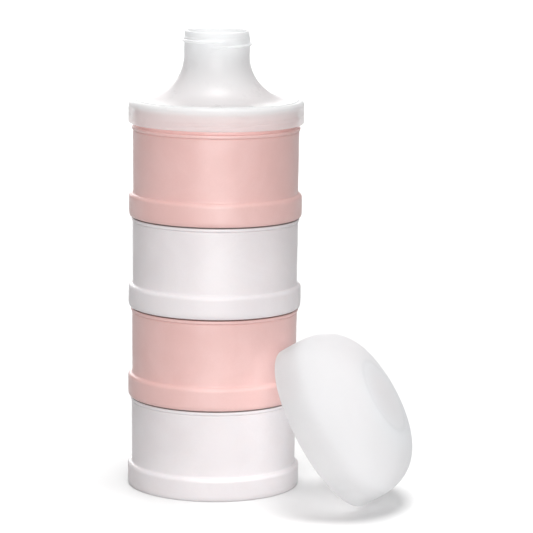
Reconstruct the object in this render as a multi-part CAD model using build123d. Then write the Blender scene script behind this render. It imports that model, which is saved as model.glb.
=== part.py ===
from build123d import *
import math
import os

# Stackable milk-powder dispenser: four identical screw-together compartments,
# a funnel lid with a threaded spout, and a domed cap that has been taken off
# and leans against the stack.
# Frame: +Z up, origin at the centre of the stack's foot, -Y is the front.

# ---------------------------------------------------------------- dimensions (mm)
cup_pitch = 36.95        # stacking height of one compartment
cup_count = 4

# compartment, heights from the bottom edge of its skirt
skirt_r = 35.0           # outside of the skirt
skirt_bore_r = 33.5      # inside of the skirt
skirt_foot_r = 34.3      # outer edge of the flat the skirt stands on
lead_in_r, lead_in_h = 33.85, 1.85   # plain mouth of the skirt, ahead of its thread
skirt_top = 7.9          # where the skirt's shoulder starts to turn in
wall_r_low = 33.35       # outside of the wall above the skirt
wall_r_high = 33.55      # outside of the wall under the bead
bead_r = 34.0
bead_low = 34.95
bead_high = 35.95
neck_r = 32.3            # plain root of the threaded neck
neck_bore_r = 30.9       # straight inside wall of the compartment
neck_top = 43.8
floor_top = 10.15
roof = 8.65              # underside of the floor, inside the skirt
rib_r_in, rib_r_out = 29.5, 30.3   # rib that keeps the sealing ring in its place
rib_low = 7.2

# compartment threads (single start, right-handed)
lead = 3.0
ext_crest_r = 33.1
int_crest_r = 32.7
ridge_root, ridge_crest = 1.6, 0.9     # widths of a ridge at its root and its crest
ext_z0, ext_turns = 38.6, 1.3
ext_front = 38.95        # height of the outside ridge's middle at the front
int_turns = 0.95

# sealing rings
seal_r_in, seal_r_out, seal_t = 30.7, 33.1, 1.25
seal_above_neck = 0.35

# funnel lid
lid_z = 148.75           # bottom edge of its collar
lid_r = 35.42
shelf_z = 158.2
lid_roof = 156.45
cone_c = (31.0, 176.0)   # centre of the trumpet's quarter circle (r, z)
cone_R = 17.8
cone_t = 1.3             # wall of the trumpet and the spout
spout_r = 13.26
spout_top = 185.8
spout_lip_r, spout_lip_z = 13.05, 183.35   # plain lip above the thread
spout_lead = 2.4
spout_crest_r = 14.26
spout_thread_z0, spout_thread_turns, spout_thread_az = 179.7, 1.15, -105.0

# domed cap, heights from its rim
dome_r_rim, dome_r = 34.9, 35.0
dome_side = 7.0          # straight part of the side
dome_h = 29.5
dome_t = 1.25
dome_n, dome_m = 2.26, 3.97      # exponents of the crown's curve
boss_r_in, boss_r_out = 14.7, 15.9
boss_len = 9.0
boss_crest_r = 13.7
# where the cap lies: centre of its rim, and the way its crown points
dome_at = (44.1, -29.4, 29.75)
dome_az, dome_el = -15.2, 31.0


# ---------------------------------------------------------------- helpers
def turned(wire_edges):
    """A closed half section in r and z, turned about the axis."""
    face = make_face(Plane.XZ * Wire(wire_edges))
    solid = revolve(face, axis=Axis.Z, revolution_arc=360)
    return solid


def chain(*steps):
    """Edges through a list of steps: a point is a straight run, ('arc', mid, end) an arc,
    ('curve', [points], t0, t1) a smooth curve with its end directions."""
    edges, here, first = [], None, None
    for s in steps:
        if here is None:
            here = first = s
            continue
        if s[0] == "arc":
            edges.append(Edge.make_three_point_arc(Vector(*here), Vector(*s[1]), Vector(*s[2])))
            here = s[2]
        elif s[0] == "curve":
            pts = [Vector(*p) for p in [here] + s[1]]
            edges.append(Edge.make_spline(pts, tangents=[Vector(*s[2]), Vector(*s[3])]))
            here = s[1][-1]
        else:
            edges.append(Edge.make_line(Vector(*here), Vector(*s)))
            here = s
    if math.dist(here, first) > 1e-6:
        edges.append(Edge.make_line(Vector(*here), Vector(*first)))
    return edges


def helix_ridge(root_r, crest_r, w_root, w_crest, pitch, turns, z0, az0):
    """A thread ridge of trapezium section along a right-handed helix."""
    sink = 0.25 if crest_r > root_r else -0.25      # foot of the ridge inside the wall
    grow = (w_root - w_crest) / abs(crest_r - root_r) * abs(sink)
    path = Helix(pitch=pitch, height=pitch * turns, radius=root_r)
    section = make_face(Plane.XZ * Wire(chain(
        (root_r - sink, -w_root / 2 - grow / 2),
        (crest_r, -w_crest / 2),
        (crest_r, w_crest / 2),
        (root_r - sink, w_root / 2 + grow / 2))))
    ridge = sweep(section, path=path, is_frenet=True)
    return Rot(0, 0, az0) * Pos(0, 0, z0) * ridge


def az_at(z, z_front, pitch):
    """Azimuth where a right-handed helix that passes the front at z_front has height z."""
    return (z - z_front) / pitch * 360.0 - 90.0


# ---------------------------------------------------------------- one compartment
def cup():
    body = turned(chain(
        (0, roof), (rib_r_in, roof), (rib_r_in, rib_low), (rib_r_out, rib_low), (rib_r_out, roof),
        (skirt_bore_r, roof), (skirt_bore_r, lead_in_h), (lead_in_r, lead_in_h), (lead_in_r, 0),
        (skirt_foot_r, 0),
        ("arc", (34.79, 0.63), (skirt_r, 2.0)),
        (skirt_r, skirt_top),
        ("arc", (34.66, 8.83), (33.80, 9.30)),
        ("arc", (33.49, 9.47), (wall_r_low, 9.85)),
        (wall_r_high, 34.50),
        ("arc", (33.33, 34.72), (wall_r_high, bead_low)),
        ("arc", (33.86, 35.08), (bead_r, bead_low + 0.45)),
        (bead_r, bead_high),
        ("arc", (33.90, bead_high + 0.26), (33.65, bead_high + 0.42)),
        (32.95, 37.00),
        (neck_r, 37.25),
        (neck_r, neck_top - 0.4),
        ("arc", (neck_r - 0.117, neck_top - 0.117), (neck_r - 0.4, neck_top)),
        (neck_bore_r + 0.4, neck_top),
        ("arc", (neck_bore_r + 0.117, neck_top - 0.117), (neck_bore_r, neck_top - 0.4)),
        (neck_bore_r, floor_top + 2.5),
        ("arc", (neck_bore_r - 0.732, floor_top + 0.732), (neck_bore_r - 2.5, floor_top)),
        (0, floor_top)))
    outside = helix_ridge(neck_r, ext_crest_r, ridge_root, ridge_crest, lead,
                          ext_turns, ext_z0, az_at(ext_z0, ext_front, lead))
    # the inside ridge runs midway between two turns of the neck below
    int_front = ext_front + lead / 2 - cup_pitch
    int_z0 = 3.0
    inside = helix_ridge(skirt_bore_r, int_crest_r, ridge_root, ridge_crest, lead,
                         int_turns, int_z0, az_at(int_z0, int_front, lead))
    return body + outside + inside


# ---------------------------------------------------------------- sealing ring
def seal(z_low):
    w = 0.35
    return turned(chain(
        (seal_r_in, z_low + w), ("arc", (seal_r_in + 0.1, z_low + 0.1), (seal_r_in + w, z_low)),
        (seal_r_out - w, z_low), ("arc", (seal_r_out - 0.1, z_low + 0.1), (seal_r_out, z_low + w)),
        (seal_r_out, z_low + seal_t - w),
        ("arc", (seal_r_out - 0.1, z_low + seal_t - 0.1), (seal_r_out - w, z_low + seal_t)),
        (seal_r_in + w, z_low + seal_t),
        ("arc", (seal_r_in + 0.1, z_low + seal_t - 0.1), (seal_r_in, z_low + seal_t - w))))


# ---------------------------------------------------------------- funnel lid
def on_cone(R, deg):
    """A point of the trumpet's arc: 180 is its narrow end, 270 its foot on the shelf."""
    a = math.radians(deg)
    return (cone_c[0] + R * math.cos(a), cone_c[1] + R * math.sin(a))


def funnel_lid():
    Ri = cone_R + cone_t
    foot_in = 267.6
    rib_in = on_cone(Ri, foot_in)[0]
    bore = spout_r - cone_t
    f = 2.25
    body = turned(chain(
        # bore of the spout and the inside of the trumpet
        (bore, spout_top - 0.35), (bore, on_cone(Ri, 180)[1]),
        ("arc", on_cone(Ri, 223), on_cone(Ri, foot_in)),
        (rib_in, lid_z + 6.25), (rib_r_out, lid_z + 6.25), (rib_r_out, lid_roof),
        (skirt_bore_r, lid_roof), (skirt_bore_r, lid_z + 0.3), (skirt_bore_r + 0.25, lid_z),
        (lid_r - 0.5, lid_z),
        ("arc", (lid_r - 0.146, lid_z + 0.146), (lid_r, lid_z + 0.5)),
        (lid_r, shelf_z - 0.35 - f),
        ("arc", (lid_r - f * 0.293, shelf_z - 0.35 - f * 0.293), (lid_r - f, shelf_z - 0.35)),
        (lid_r - f - 0.15, shelf_z),
        on_cone(cone_R, 270),
        ("arc", on_cone(cone_R, 225), on_cone(cone_R, 180)),
        (spout_r, spout_lip_z - 0.2), (spout_lip_r, spout_lip_z),
        (spout_lip_r, spout_top - 0.35),
        ("arc", (spout_lip_r - 0.103, spout_top - 0.103), (spout_lip_r - 0.35, spout_top)),
        (bore + 0.35, spout_top),
        ("arc", (bore + 0.103, spout_top - 0.103), (bore, spout_top - 0.35))))
    front = (ext_front + lead / 2 + cup_pitch * (cup_count - 1))
    z0 = lid_z + 2.2
    inside = helix_ridge(skirt_bore_r, int_crest_r, ridge_root, ridge_crest, lead,
                         int_turns, z0, az_at(z0, front, lead))
    spout = helix_ridge(spout_r, spout_crest_r, 1.2, 0.7, spout_lead,
                        spout_thread_turns, spout_thread_z0, spout_thread_az)
    return body + inside + spout


# ---------------------------------------------------------------- domed cap
def crown(n=14, inset=0.0):
    """Points of the crown's curve, from the top of the straight side to the axis, moved in by inset."""
    pts = []
    H, R = dome_h - dome_side, dome_r
    m = 2000
    raw = []
    for i in range(m + 1):
        t = math.pi / 2 * i / m
        s = math.sin(t) ** (2 / dome_n)
        raw.append((R * max(0.0, 1 - s ** dome_n) ** (1 / dome_m), dome_side + H * s))
    raw[-1] = (0.0, dome_h)
    # even steps of length
    L = [0.0]
    for a, b in zip(raw, raw[1:]):
        L.append(L[-1] + math.hypot(b[0] - a[0], b[1] - a[1]))
    want = [L[-1] * i / n for i in range(n + 1)]
    j = 0
    for w in want:
        while j < m - 1 and L[j + 1] < w:
            j += 1
        u = (w - L[j]) / max(1e-9, L[j + 1] - L[j])
        p = (raw[j][0] + u * (raw[j + 1][0] - raw[j][0]), raw[j][1] + u * (raw[j + 1][1] - raw[j][1]))
        a, b = raw[max(0, j - 3)], raw[min(m, j + 4)]
        d = math.hypot(b[0] - a[0], b[1] - a[1])
        nx, nz = -(b[1] - a[1]) / d, (b[0] - a[0]) / d     # inward normal
        if w == want[0]:
            nx, nz = -1.0, 0.0
        if w == want[-1]:
            nx, nz = 0.0, -1.0
        pts.append((p[0] + inset * nx, p[1] + inset * nz))
    pts[-1] = (0.0, dome_h - inset)
    return pts


def dome_cap():
    outer = crown()
    inner = crown(inset=dome_t)
    up, inward = (0, 1), (-1, 0)
    e = 0.45
    body = turned(chain(
        (dome_r_rim - dome_t + e, 0), (dome_r_rim - e, 0),
        ("arc", (dome_r_rim - 0.13, 0.13), (dome_r_rim, e)),
        outer[0],
        ("curve", outer[1:], up, inward),
        inner[-1],
        ("curve", inner[::-1][1:], (1, 0), (0, -1)),
        (dome_r_rim - dome_t, e),
        ("arc", (dome_r_rim - dome_t + 0.13, 0.13), (dome_r_rim - dome_t + e, 0))))
    return body


def cap_socket():
    """The threaded ring inside the crown that screws onto the spout, up to the crown's inner face."""
    top_in = dome_h - dome_t
    boss = turned(chain(
        (boss_r_in, top_in - boss_len), (boss_r_out, top_in - boss_len),
        (boss_r_out, top_in + 0.3), (boss_r_in, top_in + 0.3)))
    z0 = top_in - boss_len + 1.5
    ridge = helix_ridge(boss_r_in, boss_crest_r, 1.2, 0.7, spout_lead, 1.0, z0, 40.0)
    return (boss - dome_cap()) + ridge


def dome_place():
    az, el = math.radians(dome_az), math.radians(dome_el)
    axis = Vector(math.cos(el) * math.cos(az), math.cos(el) * math.sin(az), math.sin(el))
    side = Vector(-math.sin(az), math.cos(az), 0)
    return Plane(origin=dome_at, x_dir=side, z_dir=axis).location


# ---------------------------------------------------------------- assembly
def main():
    os.makedirs("parts", exist_ok=True)
    one = cup()
    nodes = {}
    for k in range(cup_count):
        name = "base_cup" if k == 0 else "cup_%d" % (k + 1)
        nodes[name] = Pos(0, 0, cup_pitch * k) * one
        nodes["seal_%d" % (k + 1)] = seal(cup_pitch * k + neck_top + seal_above_neck)
    nodes["funnel_lid"] = funnel_lid()
    nodes["dome_cap"] = dome_place() * dome_cap()
    nodes["cap_socket"] = dome_place() * cap_socket()
    for name, shape in nodes.items():
        shape.label = name
        export_step(shape, "parts/%s.step" % name)
        print(name, round(shape.volume, 1), shape.is_valid, len(shape.solids()))


if __name__ == "__main__":
    main()
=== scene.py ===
import bpy
import math
import numpy as np
from mathutils import Matrix, Vector


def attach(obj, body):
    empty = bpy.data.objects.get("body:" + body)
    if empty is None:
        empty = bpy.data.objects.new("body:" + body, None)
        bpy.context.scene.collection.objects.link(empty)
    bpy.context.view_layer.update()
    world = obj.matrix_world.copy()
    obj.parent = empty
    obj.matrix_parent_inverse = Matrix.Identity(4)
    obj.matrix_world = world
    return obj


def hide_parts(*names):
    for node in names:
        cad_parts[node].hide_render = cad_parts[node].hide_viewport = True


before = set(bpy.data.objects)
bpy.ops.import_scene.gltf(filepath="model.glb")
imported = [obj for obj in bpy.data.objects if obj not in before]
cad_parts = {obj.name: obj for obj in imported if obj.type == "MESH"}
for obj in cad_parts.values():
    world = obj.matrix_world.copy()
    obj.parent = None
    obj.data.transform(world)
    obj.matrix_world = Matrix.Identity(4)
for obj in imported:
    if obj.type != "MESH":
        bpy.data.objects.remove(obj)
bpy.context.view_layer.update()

# Stackable milk-powder dispenser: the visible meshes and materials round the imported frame.
# Profiles are in millimetres, half sections (r, z) turned about the stack's axis; meshes are in metres.
MM = 0.001
SEG = 256                       # steps round a turned piece
PITCH = 36.95                   # stacking step of the compartments
scene = bpy.context.scene
scene.view_settings.view_transform = "Standard"
scene.view_settings.look = "None"
scene.view_settings.exposure = 0.0
scene.view_settings.gamma = 1.0
scene.cycles.diffuse_bounces = 10      # frosted walls pass light back and forth many times


# ------------------------------------------------------------------ profiles
class Profile:
    """A run of (r, z) points with a tag each; the tag says which relief acts there."""

    def __init__(self, r, z):
        self.p = [(r, z)]
        self.tag = [""]

    def _put(self, r, z, tag=""):
        if math.hypot(r - self.p[-1][0], z - self.p[-1][1]) > 1e-5:
            self.p.append((r, z))
            self.tag.append(tag)

    def to(self, r, z, step=2.5, tag="", guard=0.07):
        """A straight run, with a close point by each end so that the shading stays flat up to the edge."""
        r0, z0 = self.p[-1]
        L = math.hypot(r - r0, z - z0)
        if L < 1e-6:
            return self
        at = []
        if tag:
            n = max(1, int(round(L / step)))
            at = [i / n for i in range(1, n + 1)]
        else:
            if L > 4 * guard:
                n = max(1, int(math.ceil((L - 2 * guard) / step)))
                at = [guard / L + (1 - 2 * guard / L) * i / n for i in range(n + 1)] + [1.0]
            else:
                at = [1.0]
        for t in at:
            self._put(r0 + (r - r0) * t, z0 + (z - z0) * t, tag)
        return self

    def arc(self, mid, end, n=6):
        """A circular arc through mid to end."""
        (x1, y1), (x2, y2), (x3, y3) = self.p[-1], mid, end
        d = 2 * (x1 * (y2 - y3) + x2 * (y3 - y1) + x3 * (y1 - y2))
        if abs(d) < 1e-9:
            return self.to(*end)
        ux = ((x1**2 + y1**2) * (y2 - y3) + (x2**2 + y2**2) * (y3 - y1) + (x3**2 + y3**2) * (y1 - y2)) / d
        uy = ((x1**2 + y1**2) * (x3 - x2) + (x2**2 + y2**2) * (x1 - x3) + (x3**2 + y3**2) * (x2 - x1)) / d
        R = math.hypot(x1 - ux, y1 - uy)
        a1, a2, a3 = (math.atan2(y - uy, x - ux) for x, y in ((x1, y1), (x2, y2), (x3, y3)))

        def between(a, b, c):
            return (b - a) % (2 * math.pi) <= (c - a) % (2 * math.pi)

        sweep = (a3 - a1) % (2 * math.pi) if between(a1, a2, a3) else -((a1 - a3) % (2 * math.pi))
        for i in range(1, n + 1):
            a = a1 + sweep * i / n
            self._put(ux + R * math.cos(a), uy + R * math.sin(a))
        return self

    def points(self, pts):
        for r, z in pts:
            self._put(r, z)
        return self


def smooth(x):
    x = np.clip(x, 0.0, 1.0)
    return x * x * (3 - 2 * x)


def helix_relief(height, w_root, w_crest, lead, turns, z0, az0_deg, fade_deg=26.0):
    """Height of a thread ridge over its root, for azimuths th and one height z (mm)."""
    t0 = math.radians(az0_deg)
    t1 = t0 + turns * 2 * math.pi

    def relief(th, z):
        out = np.zeros_like(th)
        k0 = math.floor((t0 - math.pi) / (2 * math.pi)) - 1
        k1 = math.ceil((t1 + math.pi) / (2 * math.pi)) + 1
        for k in range(k0, k1 + 1):
            phi = th + 2 * math.pi * k
            zc = z0 + lead * (phi - t0) / (2 * math.pi)
            x = np.abs(z - zc)
            side = smooth((w_root / 2 - x) / ((w_root - w_crest) / 2))
            end = smooth((phi - t0) / math.radians(fade_deg)) * smooth((t1 - phi) / math.radians(fade_deg))
            on = (phi >= t0) & (phi <= t1)
            out = np.maximum(out, np.where(on, side * end, 0.0))
        return out * height

    return relief


def az_at(z, z_front, lead):
    return (z - z_front) / lead * 360.0 - 90.0


def convexity(pts, closed, window=0.55):
    """How strongly a profile turns outward round each of its points, 0 on flats to 1 on edges."""
    n = len(pts)
    p = np.array(pts)
    area = 0.5 * np.sum(p[:, 0] * np.roll(p[:, 1], -1) - np.roll(p[:, 0], -1) * p[:, 1])
    d = np.roll(p, -1, 0) - p
    ang = np.arctan2(d[:, 1], d[:, 0])
    t = (ang - np.roll(ang, 1) + math.pi) % (2 * math.pi) - math.pi
    if not closed:
        t[0] = t[-1] = 0.0
    t *= 1.0 if area > 0 else -1.0
    s = np.r_[0, np.cumsum(np.hypot(d[:, 0], d[:, 1]))[:-1]]
    out = np.zeros(n)
    for i in range(n):
        w = np.clip(1 - np.abs(s - s[i]) / window, 0, 1)
        out[i] = max(0.0, float(np.sum(w * t)))
    return np.clip((out - 0.25) / 0.9, 0, 1)


def lathe(name, prof, reliefs=None, closed=True, place=None, seg=SEG, flip=False, slit_shade_at=None,
          thin_at=None, dense_at=None, shade_tone_at=None):
    """Turns a profile into one closed mesh. Points on the axis become a single vertex."""
    reliefs = reliefs or {}
    pts, tags = list(prof.p), list(prof.tag)
    if closed and math.hypot(pts[0][0] - pts[-1][0], pts[0][1] - pts[-1][1]) < 1e-5:
        pts.pop()
        tags.pop()
    th = np.arange(seg) * 2 * math.pi / seg
    co, rows = [], []
    for (r, z), tag in zip(pts, tags):
        if r < 1e-6:
            rows.append([len(co)])
            co.append((0.0, 0.0, z))
            continue
        rr = np.full(seg, r)
        if tag in reliefs:
            rr = rr + reliefs[tag](th, z)
        base = len(co)
        rows.append(list(range(base, base + seg)))
        co.extend(zip(rr * np.cos(th), rr * np.sin(th), np.full(seg, z)))
    faces = []
    n = len(rows)
    for i in range(n if closed else n - 1):
        a, b = rows[i], rows[(i + 1) % n]
        if len(a) == 1 and len(b) == 1:
            continue
        for j in range(seg):
            k = (j + 1) % seg
            if len(a) == 1:
                f = (a[0], b[k], b[j])
            elif len(b) == 1:
                f = (a[j], a[k], b[0])
            else:
                f = (a[j], a[k], b[k], b[j])
            faces.append(f[::-1] if flip else f)
    edge, slit_shade, thin, dense, tone = [], [], [], [], []
    turn = convexity(pts, closed)
    for (r, z), tag, e, row in zip(pts, tags, turn, rows):
        if len(row) == 1:
            edge.append(0.0)
            slit_shade.append(0.0)
            thin.append(float(np.mean(thin_at(r, z, th))) if thin_at else 0.0)
            dense.append(dense_at(r, z) if dense_at else 0.0)
            tone.append(shade_tone_at(r, z) if shade_tone_at else 0.0)
            continue
        ee = np.full(seg, e)
        if tag in reliefs:
            h = np.abs(reliefs[tag](th, z))
            ee = np.maximum(ee, 0.8 * smooth((h - 0.45) / 0.3))
        edge.extend(ee)
        # painted shade mask for the slits between compartments
        slit_shade.extend([slit_shade_at(r, z) if slit_shade_at else 0.0] * seg)
        thin.extend(np.broadcast_to(thin_at(r, z, th) if thin_at else 0.0, seg))
        dense.extend([dense_at(r, z) if dense_at else 0.0] * seg)
        # painted shade mask for the frosted parts
        tone.extend([shade_tone_at(r, z) if shade_tone_at else 0.0] * seg)
    v = np.array(co) * MM
    if place is not None:
        m = np.array(place)
        v = v @ m[:3, :3].T + m[:3, 3]
    me = bpy.data.meshes.new(name)
    me.from_pydata(v.tolist(), [], faces)
    me.update()
    me.shade_smooth()
    for label, vals in (("edge", edge), ("slit_shade", slit_shade), ("thin", thin), ("dense", dense), ("tone", tone)):
        at = me.attributes.new(label, "FLOAT", "POINT")
        at.data.foreach_set("value", np.asarray(vals, dtype=np.float32))
    ob = bpy.data.objects.new(name, me)
    scene.collection.objects.link(ob)
    return ob


def orient_out(ob):
    """Makes the faces point out, judged by the signed volume."""
    me = ob.data
    me.calc_loop_triangles()
    co = np.empty(len(me.vertices) * 3)
    me.vertices.foreach_get("co", co)
    co = co.reshape(-1, 3)
    tri = np.empty(len(me.loop_triangles) * 3, dtype=np.int64)
    me.loop_triangles.foreach_get("vertices", tri)
    a, b, c = (co[tri.reshape(-1, 3)[:, i]] for i in range(3))
    if np.einsum("ij,ij->i", a, np.cross(b, c)).sum() < 0:
        me.flip_normals()
    return ob


# ------------------------------------------------------------------ one compartment
LEAD = 3.0
NECK_R, NECK_TOP = 32.3, 43.8
EXT_Z0, EXT_TURNS, EXT_FRONT = 38.6, 1.3, 38.95
INT_TURNS = 0.95
BORE_R = 33.5
ext_relief = helix_relief(0.8, 1.62, 0.84, LEAD, EXT_TURNS, EXT_Z0, az_at(EXT_Z0, EXT_FRONT, LEAD))
int_relief_up = helix_relief(0.8, 1.62, 0.84, LEAD, INT_TURNS, 3.0, az_at(3.0, EXT_FRONT + LEAD / 2 - PITCH, LEAD))


def cup_profile(dz):
    z = lambda v: v + dz
    p = Profile(0.0, z(8.65))
    p.to(29.5 - 0.15, z(8.65), step=4.0)
    p.arc((29.46, z(8.61)), (29.5, z(8.5)), 3)
    p.to(29.5, z(7.4)).arc((29.56, z(7.26)), (29.7, z(7.2)), 4)
    p.to(30.1, z(7.2)).arc((30.24, z(7.26)), (30.3, z(7.4)), 4)
    p.to(30.3, z(8.5)).arc((30.34, z(8.61)), (30.45, z(8.65)), 3)
    p.to(33.35, z(8.65)).arc((33.46, z(8.61)), (33.5, z(8.5)), 3)
    p.to(33.5, z(7.0))
    p.to(33.5, z(1.95), step=0.1, tag="in")
    p.to(33.5, z(1.92)).to(33.85, z(1.78)).to(33.85, z(0.10))
    p.arc((33.88, z(0.03)), (33.95, z(0.0)), 4)
    p.to(34.26, z(0.0), guard=0.04)
    # outside of the skirt: a soft foot, the band, a soft shoulder
    p.points([(34.45, z(0.06)), (34.60, z(0.19)), (34.73, z(0.40)), (34.83, z(0.68)), (34.91, z(1.04)),
              (34.965, z(1.45)), (34.995, z(1.85)), (35.0, z(2.05))])
    p.to(35.0, z(7.75), step=1.2)
    p.points([(34.985, z(7.98)), (34.93, z(8.24)), (34.83, z(8.50)), (34.68, z(8.75)), (34.48, z(8.97)),
              (34.24, z(9.14)), (33.98, z(9.26)), (33.74, z(9.36)), (33.56, z(9.49)), (33.44, z(9.66)),
              (33.37, z(9.88))])
    p.to(33.545, z(34.42), step=1.6)
    # groove and bead under the next skirt
    p.points([(33.54, z(34.50)), (33.47, z(34.58)), (33.40, z(34.66)), (33.37, z(34.74)), (33.41, z(34.83)),
              (33.52, z(34.93)), (33.68, z(35.03)), (33.83, z(35.14)), (33.93, z(35.27)), (33.985, z(35.42)),
              (34.0, z(35.56))])
    p.to(34.0, z(35.92), guard=0.05)
    p.points([(33.985, z(36.06)), (33.93, z(36.20)), (33.83, z(36.31)), (33.69, z(36.39)), (33.52, z(36.43))])
    p.to(32.90, z(36.50), step=0.3)
    p.points([(32.72, z(36.54)), (32.56, z(36.62)), (32.43, z(36.74)), (32.35, z(36.90)), (32.31, z(37.10))])
    p.to(32.3, z(37.5))
    p.to(32.3, z(43.3), step=0.1, tag="ex")
    p.to(32.3, z(43.38))
    p.arc((32.18, z(43.68)), (31.88, z(43.8)), 6)
    p.to(31.32, z(43.8))
    p.arc((31.02, z(43.68)), (30.9, z(43.38)), 6)
    p.to(30.9, z(12.65), step=2.2)
    p.arc((30.168, z(10.882)), (28.4, z(10.15)), 10)
    p.to(0.0, z(10.15), step=3.0)
    return p


def make_cup(name, k, node, body):
    dz = PITCH * k

    def slit_shade(r, z):
        """Painted shade: a darker colour in the narrow slit under the next skirt and on the underside of the skirt's
        foot.
        """
        zz = z - dz
        if k < 3 and 36.28 < zz < 37.6 and 32.2 < r < 33.95:
            return float(smooth((zz - 36.28) / 0.14) * smooth((37.6 - zz) / 0.3))
        if zz < 0.02 and r > 33.6:
            return 0.6
        return 0.0

    ob = lathe(name, cup_profile(dz), {
        "ex": lambda th, z: ext_relief(th, z - dz),
        "in": lambda th, z: -int_relief_up(th, z - dz)}, closed=False, slit_shade_at=slit_shade)
    orient_out(ob)
    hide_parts(node)
    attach(ob, body)
    return ob


cups = [
    make_cup("base_cup_shell", 0, "base_cup", "base"),
    make_cup("cup_2_shell", 1, "cup_2", "cup_2"),
    make_cup("cup_3_shell", 2, "cup_3", "cup_3"),
    make_cup("cup_4_shell", 3, "cup_4", "cup_4"),
]

# ------------------------------------------------------------------ funnel lid
LID_Z, LID_R, SHELF = 148.75, 35.42, 158.2
CC, CR, CT = (31.0, 176.0), 17.8, 1.3
SPOUT_R, SPOUT_TOP = 13.26, 185.8


def on_cone(R, deg):
    a = math.radians(deg)
    return (CC[0] + R * math.cos(a), CC[1] + R * math.sin(a))


def lid_profile():
    Ri = CR + CT
    bore = SPOUT_R - CT
    foot = 267.6
    p = Profile(bore, SPOUT_TOP - 0.35)
    p.to(bore, CC[1], step=1.0)
    p.points([on_cone(Ri, 180 + (foot - 180) * i / 44) for i in range(1, 45)])
    ri = on_cone(Ri, foot)[0]
    p.to(ri, LID_Z + 6.4).arc((ri + 0.05, LID_Z + 6.30), (ri + 0.16, LID_Z + 6.25), 3)
    p.to(30.14, LID_Z + 6.25).arc((30.25, LID_Z + 6.30), (30.3, LID_Z + 6.41), 3)
    p.to(30.3, 156.3).arc((30.34, 156.41), (30.45, 156.45), 3)
    p.to(33.35, 156.45).arc((33.46, 156.41), (33.5, 156.3), 3)
    p.to(33.5, LID_Z + 6.4)
    p.to(33.5, LID_Z + 1.15, step=0.1, tag="in")
    p.to(33.5, LID_Z + 0.42).points([(33.53, LID_Z + 0.26), (33.62, LID_Z + 0.10), (33.78, LID_Z + 0.02), (33.95, LID_Z)])
    p.to(34.9, LID_Z)
    p.points([(35.06, LID_Z + 0.03), (35.21, LID_Z + 0.10), (35.33, LID_Z + 0.23), (35.40, LID_Z + 0.40), (35.42, LID_Z + 0.6)])
    p.to(LID_R, SHELF - 0.35 - 1.75, step=0.3)
    f = 1.75
    cx, cz = LID_R - f, SHELF - 0.35 - f
    p.points([(cx + f * math.cos(math.radians(a)), cz + f * math.sin(math.radians(a))) for a in range(6, 85, 6)])
    # the small step that centres the cap's rim
    p.points([(33.25, SHELF - 0.345), (33.16, SHELF - 0.31), (33.10, SHELF - 0.22), (33.06, SHELF - 0.10),
              (33.0, SHELF - 0.03), (32.88, SHELF - 0.005)])
    p.to(31.3, SHELF)
    p.points([on_cone(CR, 270 - 90 * i / 44) for i in range(0, 45)])
    p.to(SPOUT_R, 178.4, step=1.0)
    p.to(SPOUT_R, 183.15, step=0.08, tag="sp")
    p.points([(13.24, 183.2), (13.16, 183.28), (13.08, 183.36), (13.05, 183.45)])
    p.to(13.05, SPOUT_TOP - 0.35, step=0.8)
    p.points([(13.02, SPOUT_TOP - 0.20), (12.94, SPOUT_TOP - 0.09), (12.82, SPOUT_TOP - 0.02), (12.68, SPOUT_TOP)])
    p.to(12.33, SPOUT_TOP, guard=0.05)
    p.points([(12.19, SPOUT_TOP - 0.02), (12.07, SPOUT_TOP - 0.09), (11.99, SPOUT_TOP - 0.20)])
    p._put(bore, SPOUT_TOP - 0.35)
    return p


lid_front = EXT_FRONT + LEAD / 2 + PITCH * 3
lid_in = helix_relief(0.8, 1.62, 0.84, LEAD, INT_TURNS, LID_Z + 2.2, az_at(LID_Z + 2.2, lid_front, LEAD))
spout_relief = helix_relief(0.85, 1.35, 0.45, 2.4, 1.15, 179.7, -105.0, 60.0)
# the tone mask is painted shade: a darker colour on the shelf and the collar's top, and towards the cone's foot
lid = orient_out(lathe("funnel_lid_shell", lid_profile(), {
    "in": lambda th, z: -lid_in(th, z), "sp": spout_relief},
    thin_at=lambda r, z, th: smooth((SHELF - 0.6 - z) / 4.2) * (1 - 0.42 * lid_in(th, z) / 0.8) if r > 31.0 else 0.0,
    dense_at=lambda r, z: 0.5 * float(smooth((SHELF + 20.0 - z) / 12.0)) if r < 31.0 else float(smooth((z - SHELF + 2.6) / 2.2)),
    shade_tone_at=lambda r, z: 0.52 * float(smooth((z - SHELF + 2.6) / 2.2)) if r > 31.4 else 0.20 * float(smooth((SHELF + 20.0 - z) / 12.0))))
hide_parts("funnel_lid")
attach(lid, "lid")

# ------------------------------------------------------------------ domed cap
DR0, DR, DSIDE, DH, DT = 34.9, 35.0, 7.0, 29.5, 1.25
DN, DM = 2.26, 3.97
CAP_AT = (44.1, -29.4, 29.75)
CAP_AZ, CAP_EL = math.radians(-15.2), math.radians(31.0)
ax = Vector((math.cos(CAP_EL) * math.cos(CAP_AZ), math.cos(CAP_EL) * math.sin(CAP_AZ), math.sin(CAP_EL)))
sx = Vector((-math.sin(CAP_AZ), math.cos(CAP_AZ), 0.0))
sy = ax.cross(sx)
CAP_M = Matrix((
    (sx.x, sy.x, ax.x, CAP_AT[0] * MM),
    (sx.y, sy.y, ax.y, CAP_AT[1] * MM),
    (sx.z, sy.z, ax.z, CAP_AT[2] * MM),
    (0, 0, 0, 1)))


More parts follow.
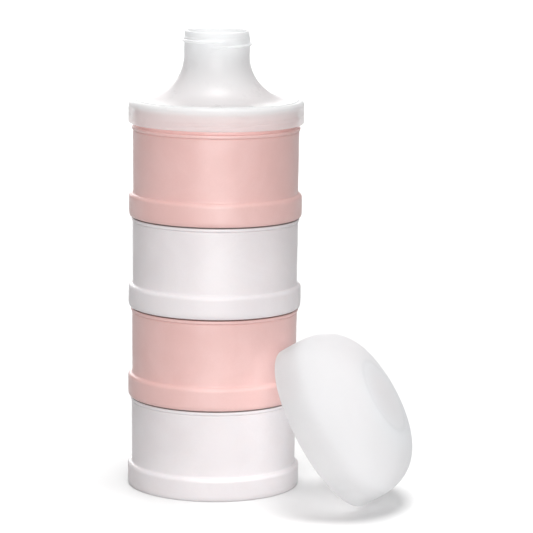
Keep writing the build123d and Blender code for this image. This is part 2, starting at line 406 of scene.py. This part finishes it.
def crown(n, inset):
    H, R, m = DH - DSIDE, DR, 4000
    t = np.linspace(0, math.pi / 2, m + 1)
    s = np.sin(t) ** (2 / DN)
    r = R * np.clip(1 - s**DN, 0, None) ** (1 / DM)
    h = DSIDE + H * s
    r[-1], h[-1] = 0.0, DH
    L = np.r_[0, np.cumsum(np.hypot(np.diff(r), np.diff(h)))]
    q = np.linspace(0, L[-1], n + 1)
    rr, hh = np.interp(q, L, r), np.interp(q, L, h)
    dr, dh = np.gradient(rr, q), np.gradient(hh, q)
    d = np.hypot(dr, dh)
    nr, nh = -dh / d, dr / d
    nr[0], nh[0], nr[-1], nh[-1] = -1, 0, 0, -1
    out = list(zip(rr + inset * nr, hh + inset * nh))
    out[-1] = (0.0, DH - inset)
    return out


def cap_profile():
    outer, inner = crown(90, 0.0), crown(90, DT)
    ri = DR0 - DT
    p = Profile(ri + 0.45, 0.0)
    p.to(DR0 - 0.45, 0.0, guard=0.03)
    p.arc((DR0 - 0.13, 0.13), (DR0, 0.45), 7)
    p.to(*outer[0], step=1.0)
    p.points(outer[1:])
    p.points(inner[::-1])
    p.to(ri, 0.45, step=1.0)
    p.arc((ri + 0.13, 0.13), (ri + 0.45, 0.0), 6)
    return p


def socket_profile():
    """The ring inside the crown that grips the spout; it stands on the crown's inside."""
    top = DH - DT
    roof = [(r, h) for r, h in crown(400, DT - 0.06)]
    p = Profile(14.7, top - 0.9)
    p.to(14.7, top - 8.5, step=0.1, tag="boss")
    p.to(14.7, top - 8.7).arc((14.78, top - 8.92), (15.0, top - 9.0), 4)
    p.to(15.6, top - 9.0).arc((15.82, top - 8.92), (15.9, top - 8.7), 4)
    rr, hh = [r for r, h in roof][::-1], [h for r, h in roof][::-1]
    at = lambda r: float(np.interp(r, rr, hh))
    p.to(15.9, at(15.9), step=1.2)
    p.points([(r, at(r)) for r in (15.6, 15.3, 15.0)])
    p.to(14.7, at(14.7))
    p.to(14.7, top - 0.9)
    return p


boss_relief = helix_relief(1.0, 1.25, 0.62, 2.4, 1.0, DH - DT - 7.5, 40.0, 14.0)
# the tone mask is painted shade: a darker ring where the socket ring stands inside the crown, and a darker band towards
# the rim
cap = orient_out(lathe("dome_cap_shell", cap_profile(), closed=False, place=CAP_M,
                       thin_at=lambda r, h, th: smooth((15.0 - h) / 10.0),
                       dense_at=lambda r, h: 0.3 * float(smooth(1 - abs(r - 15.3) / 1.5)) if h > 20 else 0.0,
                       shade_tone_at=lambda r, h: 0.20 * float(smooth(1 - abs(r - 15.3) / 1.5)) if h > 20 else
                       0.38 * float(smooth((15.0 - h) / 10.0))))
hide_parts("dome_cap")
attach(cap, "cap")
socket = orient_out(lathe("cap_socket_ring", socket_profile(), {"boss": lambda th, z: -boss_relief(th, z)}, place=CAP_M))
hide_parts("cap_socket")
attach(socket, "cap")


# ------------------------------------------------------------------ materials
def nodes_of(name):
    m = bpy.data.materials.new(name)
    m.use_nodes = True
    nt = m.node_tree
    nt.nodes.clear()
    out = nt.nodes.new("ShaderNodeOutputMaterial")
    b = nt.nodes.new("ShaderNodeBsdfPrincipled")
    nt.links.new(b.outputs["BSDF"], out.inputs["Surface"])
    return m, nt, b


def add(nt, kind, **vals):
    n = nt.nodes.new(kind)
    for k, v in vals.items():
        if k in n.inputs:
            n.inputs[k].default_value = v
        else:
            setattr(n, k, v)
    return n


def ramp(nt, fac, stops):
    r = nt.nodes.new("ShaderNodeValToRGB")
    r.color_ramp.interpolation = "EASE"
    while len(r.color_ramp.elements) < len(stops):
        r.color_ramp.elements.new(0.5)
    for e, (pos, col) in zip(r.color_ramp.elements, stops):
        e.position = pos
        e.color = (*col, 1.0) if len(col) == 3 else col
    nt.links.new(fac, r.inputs["Fac"])
    return r.outputs["Color"]


def lin(*c):
    """sRGB 0-255 to linear."""
    return tuple((v / 255 / 12.92) if v / 255 <= 0.04045 else ((v / 255 + 0.055) / 1.055) ** 2.4 for v in c)


def noise(nt, vec, scale, detail=2.0, rough=0.5, distortion=0.0):
    n = add(nt, "ShaderNodeTexNoise", Scale=scale, Detail=detail, Roughness=rough, Distortion=distortion)
    nt.links.new(vec, n.inputs["Vector"])
    return n.outputs["Fac"]


def remap(nt, src, lo, hi, a, b):
    n = add(nt, "ShaderNodeMapRange", clamp=True)
    n.interpolation_type = "SMOOTHSTEP"
    for k, v in (("From Min", lo), ("From Max", hi), ("To Min", a), ("To Max", b)):
        n.inputs[k].default_value = v
    nt.links.new(src, n.inputs["Value"])
    return n.outputs["Result"]


def blend(nt, fac, a, b):
    n = nt.nodes.new("ShaderNodeMix")
    n.data_type = "RGBA"
    for src, k in ((fac, 0), (a, 6), (b, 7)):
        if isinstance(src, tuple):
            n.inputs[k].default_value = (*src, 1.0)
        else:
            nt.links.new(src, n.inputs[k])
    return n.outputs[2]


def bump(nt, height, strength, distance, normal=None):
    n = add(nt, "ShaderNodeBump", Strength=strength, Distance=distance)
    nt.links.new(height, n.inputs["Height"])
    if normal is not None:
        nt.links.new(normal, n.inputs["Normal"])
    return n.outputs["Normal"]


def attr(nt, name):
    return add(nt, "ShaderNodeAttribute", attribute_name=name).outputs["Fac"]


def object_space(nt, loc=(0, 0, 0), scale=(1, 1, 1)):
    tc = nt.nodes.new("ShaderNodeTexCoord")
    mp = add(nt, "ShaderNodeMapping")
    mp.inputs["Location"].default_value = loc
    mp.inputs["Scale"].default_value = scale
    nt.links.new(tc.outputs["Object"], mp.inputs["Vector"])
    return mp.outputs["Vector"]


def moulded(name, deep, light, slit_shade_col, rough=(0.36, 0.46), grain=0.10, sss=0.12,
            radius=(4.0, 2.2, 1.8), seed=0.0, flow=1.0, clear=None, even=1.0, shine=0.8, haze=0.0):
    """Injection-moulded polypropylene: flow mottling in colour and gloss, fine grain, faint draw
    lines, a painted highlight mixed with wear on lips and thread crests, painted shade in the slits.
    clear = (translucent share, see-through share, how much more of it in a thin wall)."""
    m, nt, b = nodes_of(name)
    vec = object_space(nt, (seed, seed * 1.7, seed * 0.6))
    slow = noise(nt, vec, 46.0, 4.0, 0.55, 0.6)
    speck = noise(nt, vec, 1500.0, 2.0, 0.5)
    tone = add(nt, "ShaderNodeMath", operation="MULTIPLY_ADD")
    tone.inputs[1].default_value = 0.22
    nt.links.new(speck, tone.inputs[0])
    nt.links.new(slow, tone.inputs[2])
    col = ramp(nt, tone.outputs[0], [(0.40, deep), (0.80, light)])
    # painted highlight with wear: convex lips and thread crests take a paler colour, broken up by noise
    highlight_and_wear_col = tuple(min(1.0, c * 1.05 + 0.02) for c in light)
    edge = attr(nt, "edge")
    edge_highlight_and_wear = add(nt, "ShaderNodeMath", operation="MULTIPLY")
    nt.links.new(edge, edge_highlight_and_wear.inputs[0])
    nt.links.new(remap(nt, noise(nt, vec, 400.0, 3.0, 0.6), 0.3, 0.7, 0.25, 0.8), edge_highlight_and_wear.inputs[1])
    col = blend(nt, edge_highlight_and_wear.outputs[0], col, highlight_and_wear_col)
    # painted shade: the slits between compartments take a darker colour
    col = blend(nt, attr(nt, "slit_shade"), col, slit_shade_col)
    # painted shade on the frosted parts: a darker colour where the tone mask is set
    if clear:
        col = blend(nt, attr(nt, "tone"), col, tuple(c * 0.74 for c in deep))
    nt.links.new(col, b.inputs["Base Color"])
    # gloss varies with the flow, with handling, and where the lips are rubbed
    hand = noise(nt, vec, 120.0, 6.0, 0.65)
    rg = remap(nt, hand, 0.3, 0.7, rough[0], rough[1])
    sub = add(nt, "ShaderNodeMath", operation="MULTIPLY_ADD")
    sub.inputs[1].default_value = -0.07
    nt.links.new(edge_highlight_and_wear.outputs[0], sub.inputs[0])
    nt.links.new(rg, sub.inputs[2])
    nt.links.new(sub.outputs[0], b.inputs["Roughness"])
    # relief: spark-eroded grain, draw lines along the axis, slow sink waves
    n1 = bump(nt, noise(nt, vec, 2600.0, 3.0, 0.6), grain, 0.00006)
    n2 = bump(nt, noise(nt, object_space(nt, (0, 0, seed), (900.0, 900.0, 18.0)), 1.0, 2.0), grain * 0.5, 0.00008, n1)
    n3 = bump(nt, noise(nt, vec, 85.0, 1.0, 0.4), 0.10 * flow, 0.0004, n2)
    nt.links.new(n3, b.inputs["Normal"])
    b.inputs["IOR"].default_value = 1.49
    b.inputs["Specular IOR Level"].default_value = shine
    b.inputs["Sheen Weight"].default_value = haze
    b.inputs["Sheen Roughness"].default_value = 0.5
    b.inputs["Subsurface Weight"].default_value = sss
    b.inputs["Subsurface Radius"].default_value = radius
    b.inputs["Subsurface Scale"].default_value = 0.001
    if clear:
        out = next(n for n in nt.nodes if n.type == "OUTPUT_MATERIAL")
        tr = nt.nodes.new("ShaderNodeBsdfTranslucent")
        nt.links.new(col, tr.inputs["Color"])
        nt.links.new(n3, tr.inputs["Normal"])
        m1 = nt.nodes.new("ShaderNodeMixShader")
        # cloudier where the melt met and where the wall is thick
        milky = add(nt, "ShaderNodeMath", operation="MULTIPLY")
        nt.links.new(remap(nt, slow, 0.3, 0.7, clear[0] - 0.04 * even, clear[0] + 0.04 * even), milky.inputs[0])
        nt.links.new(remap(nt, attr(nt, "dense"), 0.0, 1.0, 1.0, 0.66), milky.inputs[1])
        nt.links.new(milky.outputs[0], m1.inputs[0])
        nt.links.new(b.outputs["BSDF"], m1.inputs[1])
        nt.links.new(tr.outputs["BSDF"], m1.inputs[2])
        ts = nt.nodes.new("ShaderNodeBsdfTransparent")
        m2 = nt.nodes.new("ShaderNodeMixShader")
        see = add(nt, "ShaderNodeMath", operation="ADD")
        nt.links.new(remap(nt, slow, 0.3, 0.7, clear[1] - 0.03 * even, clear[1] + 0.03 * even), see.inputs[0])
        nt.links.new(remap(nt, attr(nt, "thin"), 0.0, 1.0, 0.0, clear[2]), see.inputs[1])
        less = add(nt, "ShaderNodeMath", operation="MULTIPLY")
        nt.links.new(see.outputs[0], less.inputs[0])
        nt.links.new(remap(nt, attr(nt, "dense"), 0.0, 1.0, 1.0, 0.3), less.inputs[1])
        nt.links.new(less.outputs[0], m2.inputs[0])
        nt.links.new(m1.outputs["Shader"], m2.inputs[1])
        nt.links.new(ts.outputs["BSDF"], m2.inputs[2])
        nt.links.new(m2.outputs["Shader"], out.inputs["Surface"])
    return m


# the third colour of each material is its painted shade colour for the slits
pink = moulded("pp_pink", (0.730, 0.452, 0.426), (0.770, 0.496, 0.472), (0.42, 0.235, 0.215), seed=0.31)
white = moulded("pp_white", (0.752, 0.700, 0.712), (0.790, 0.742, 0.754), (0.42, 0.345, 0.330), seed=0.77)
frost_lid = moulded("pp_frosted_lid", (0.932, 0.943, 0.948), (0.950, 0.961, 0.966), (0.5, 0.45, 0.45), rough=(0.26, 0.36),
                    grain=0.04, sss=0.0, radius=(3.0, 3.0, 3.0), seed=1.13, clear=(0.60, 0.15, 0.22), even=0.25, shine=0.45,
                    haze=0.45)
frost_cap = moulded("pp_frosted_cap", (0.924, 0.931, 0.936), (0.944, 0.951, 0.956), (0.5, 0.5, 0.5), rough=(0.42, 0.52),
                    grain=0.10, sss=0.0, radius=(3.0, 3.0, 3.0), seed=1.91, clear=(0.92, 0.10, 0.16), even=0.4, shine=0.22)
silicone = moulded("silicone_ring", (0.80, 0.80, 0.78), (0.86, 0.86, 0.84), (0.4, 0.4, 0.4), rough=(0.5, 0.62),
                   grain=0.08, sss=0.3, seed=2.6, shine=0.4)

for ob, m in zip(cups, (white, pink, white, pink)):
    ob.data.materials.append(m)
lid.data.materials.append(frost_lid)
cap.data.materials.append(frost_cap)
socket.data.materials.append(frost_cap)
for name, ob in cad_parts.items():
    if name.startswith("seal_"):
        ob.data.materials.clear()
        ob.data.materials.append(silicone)
        for poly in ob.data.polygons:
            poly.use_smooth = True

# ------------------------------------------------------------------ floor, light, camera
def quad_grid(name, half, n=24, z=0.0):
    xs = np.linspace(-half, half, n + 1)
    co = [(x, y, z) for y in xs for x in xs]
    fs = [(j * (n + 1) + i, j * (n + 1) + i + 1, (j + 1) * (n + 1) + i + 1, (j + 1) * (n + 1) + i)
          for j in range(n) for i in range(n)]
    me = bpy.data.meshes.new(name)
    me.from_pydata(co, [], fs)
    me.update()
    ob = bpy.data.objects.new(name, me)
    scene.collection.objects.link(ob)
    return ob


floor = quad_grid("studio_floor", 9.0)
fm, fnt, fb = nodes_of("studio_paper")
# painted shade around the stack: the floor is darker within 0.4 m and reaches its plain white by 1.8 m, which deepens
# the contact shadows
fn = add(fnt, "ShaderNodeTexNoise", Scale=220.0, Detail=3.0, Roughness=0.5)
near_painted_shade = ramp(fnt, fn.outputs["Fac"], [(0.3, (0.818, 0.818, 0.818)), (0.7, (0.828, 0.828, 0.828))])
far = ramp(fnt, fn.outputs["Fac"], [(0.3, (0.955, 0.955, 0.955)), (0.7, (0.965, 0.965, 0.965))])
fdist = add(fnt, "ShaderNodeVectorMath", operation="LENGTH")
fnt.links.new(object_space(fnt), fdist.inputs[0])
fcol = blend(fnt, remap(fnt, fdist.outputs["Value"], 0.4, 1.8, 0.0, 1.0), near_painted_shade, far)
fnt.links.new(fcol, fb.inputs["Base Color"])
fb.inputs["Roughness"].default_value = 0.9
fb.inputs["Specular IOR Level"].default_value = 0.1
floor.data.materials.append(fm)
floor.visible_diffuse = False

WORLD_EDGE = (0.35, 0.95)        # how far to the sides the surroundings begin and stop dimming
WORLD_LIT = (0.38, 0.19)
world = bpy.data.worlds.new("studio_world")
scene.world = world
world.use_nodes = True
wnt = world.node_tree
wnt.nodes.clear()
wout = wnt.nodes.new("ShaderNodeOutputWorld")
wbg = wnt.nodes.new("ShaderNodeBackground")
wbg.inputs["Color"].default_value = (1.0, 1.0, 1.0, 1.0)
wco = wnt.nodes.new("ShaderNodeTexCoord")
wsep = wnt.nodes.new("ShaderNodeSeparateXYZ")
wabs = add(wnt, "ShaderNodeMath", operation="ABSOLUTE")
wnt.links.new(wco.outputs["Generated"], wsep.inputs[0])
wnt.links.new(wsep.outputs["X"], wabs.inputs[0])
wpath = wnt.nodes.new("ShaderNodeLightPath")
wmix = wnt.nodes.new("ShaderNodeMix")
wmix.data_type = "FLOAT"
wnt.links.new(wpath.outputs["Is Camera Ray"], wmix.inputs[0])
wnt.links.new(remap(wnt, wabs.outputs[0], WORLD_EDGE[0], WORLD_EDGE[1], WORLD_LIT[0], WORLD_LIT[1]), wmix.inputs[2])
wmix.inputs[3].default_value = 1.0
wnt.links.new(wmix.outputs[0], wbg.inputs["Strength"])
wnt.links.new(wbg.outputs["Background"], wout.inputs["Surface"])


def area(name, loc, target, size, power, size_y=None):
    d = bpy.data.lights.new(name, "AREA")
    d.shape = "RECTANGLE"
    d.size = size
    d.size_y = size_y or size
    d.energy = power
    d.color = (1.0, 1.0, 1.0)
    o = bpy.data.objects.new(name, d)
    scene.collection.objects.link(o)
    o.location = loc
    o.rotation_mode = "QUATERNION"
    o.rotation_quaternion = (Vector(target) - Vector(loc)).to_track_quat("-Z", "Y")
    return o


area("key_front", (0.04, -2.6, 0.62), (0, 0, 0.08), 1.9, 57.5, 1.3)
area("back_soft", (-0.8, 5.2, 1.5), (0, 0, 0.10), 3.0, 105.0, 3.0)
sun_d = bpy.data.lights.new("top_soft", "SUN")
sun_d.energy = 2.42
sun_d.angle = math.radians(28)
sun = bpy.data.objects.new("top_soft", sun_d)
scene.collection.objects.link(sun)
sun.location = (0, 0, 2)

cam_d = bpy.data.cameras.new("camera")
cam = bpy.data.objects.new("camera", cam_d)
scene.collection.objects.link(cam)
F_PX, CAM_D, CAM_H, PHI, ROLL, CAM_X = 2793.9, 1120.28, 279.08, 0.167239, 0.012486, 20.96
cam_d.sensor_width = 36.0
cam_d.lens = 36.0 * F_PX / 533.0
cam_d.clip_start, cam_d.clip_end = 0.05, 40.0
rt, up = Vector((1, 0, 0)), Vector((0, math.sin(PHI), math.cos(PHI)))
back = Vector((0, -math.cos(PHI), math.sin(PHI)))
R = rt * math.cos(ROLL) + up * math.sin(ROLL)
U = up * math.cos(ROLL) - rt * math.sin(ROLL)
cam.matrix_world = Matrix((
    (R.x, U.x, back.x, CAM_X * MM),
    (R.y, U.y, back.y, -CAM_D * MM),
    (R.z, U.z, back.z, CAM_H * MM),
    (0, 0, 0, 1)))
scene.camera = cam
